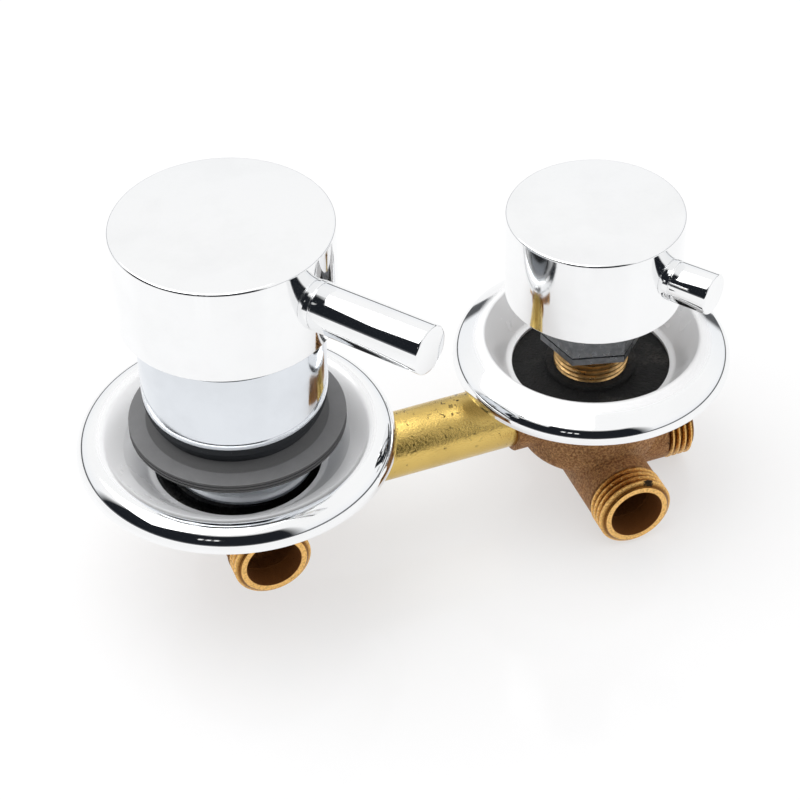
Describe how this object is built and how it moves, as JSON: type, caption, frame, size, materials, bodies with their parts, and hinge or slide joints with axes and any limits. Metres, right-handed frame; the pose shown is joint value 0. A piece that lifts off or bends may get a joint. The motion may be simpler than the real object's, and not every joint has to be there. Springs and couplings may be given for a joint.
{
  "type": "shower mixer valve",
  "caption": "Concealed shower mixer and diverter on one brass tube, with chrome lever handles, loose round cover plates and threaded ports.",
  "frame": {"origin": "on the axis of the mixer handle, at the height of the axes of the diverter's outlet ports", "axes": "+X from the mixer axis to the diverter axis, +Z out of the wall along the handle axes, -Y towards the front ports"},
  "size_m": [0.18, 0.0946, 0.1151],
  "materials": {
    "handle_chrome": "mirror chrome",
    "lever_chrome": "mirror chrome",
    "sleeve_chrome": "mirror chrome",
    "plate_chrome": "polished pressed sheet",
    "cast_brass": "rough, as cast",
    "tube_brass": "polished",
    "turned_brass": "turned",
    "plated_brass": "nickel plated hexagon, bare thread",
    "grey_rubber": "matt moulded",
    "black_rubber": "matt",
    "ceramic": "lapped",
    "cartridge_plastic": "moulded",
    "steel": "turned"
  },
  "bodies": {
    "valve": {"mixer_body": "cast_brass", "mixer_tower": "turned_brass", "connecting_tube": "tube_brass", "diverter_body": "cast_brass", "cartridge_base": "cartridge_plastic", "base_seals": "black_rubber", "fixed_disc": "ceramic", "cartridge_housing": "cartridge_plastic", "retaining_nut": "turned_brass", "sleeve_seals": "black_rubber", "bonnet": "sleeve_chrome", "gasket_ring": "grey_rubber", "mixer_escutcheon": "plate_chrome", "headpart": "plated_brass", "seat_seal": "black_rubber", "stator_disc": "ceramic", "diverter_escutcheon": "plate_chrome"},
    "mixer_turn": {"stem_driver": "cartridge_plastic", "stem_pin": "steel"},
    "disc_slide": {"moving_disc": "ceramic", "disc_carrier": "cartridge_plastic"},
    "mixer_tilt": {"mixer_stem": "steel", "mixer_handle": "handle_chrome", "mixer_lever": "lever_chrome", "mixer_screw": "steel"},
    "diverter_turn": {"rotor_disc": "ceramic", "diverter_spindle": "turned_brass", "spindle_seals": "black_rubber", "spindle_clip": "steel", "diverter_handle": "handle_chrome", "diverter_lever": "lever_chrome", "diverter_screw": "steel"}
  },
  "joints": [
    {"name": "mixer_turn", "type": "hinge", "parent": "valve", "child": "mixer_turn", "pos_m": [0, 0, 0.065], "axis": [0, 0, 1], "range_deg": [-4.5, 115.5]},
    {"name": "mixer_tilt", "type": "hinge", "parent": "mixer_turn", "child": "mixer_tilt", "pos_m": [0, 0, 0.065], "axis": [-0.8241, -0.5664, 0], "range_deg": [0, 20]},
    {"name": "disc_slide", "type": "slide", "parent": "mixer_turn", "child": "disc_slide", "axis": [0.5664, -0.8241, 0], "range_m": [0, 0.00522]},
    {"name": "diverter_turn", "type": "hinge", "parent": "valve", "child": "diverter_turn", "pos_m": [0.1, 0, 0.067], "axis": [0, 0, 1], "range_deg": [-34, 146]}
  ],
  "couplings": [
    {"joint": "disc_slide", "follows": "mixer_tilt", "m_per_rad": 0.014923}
  ]
}
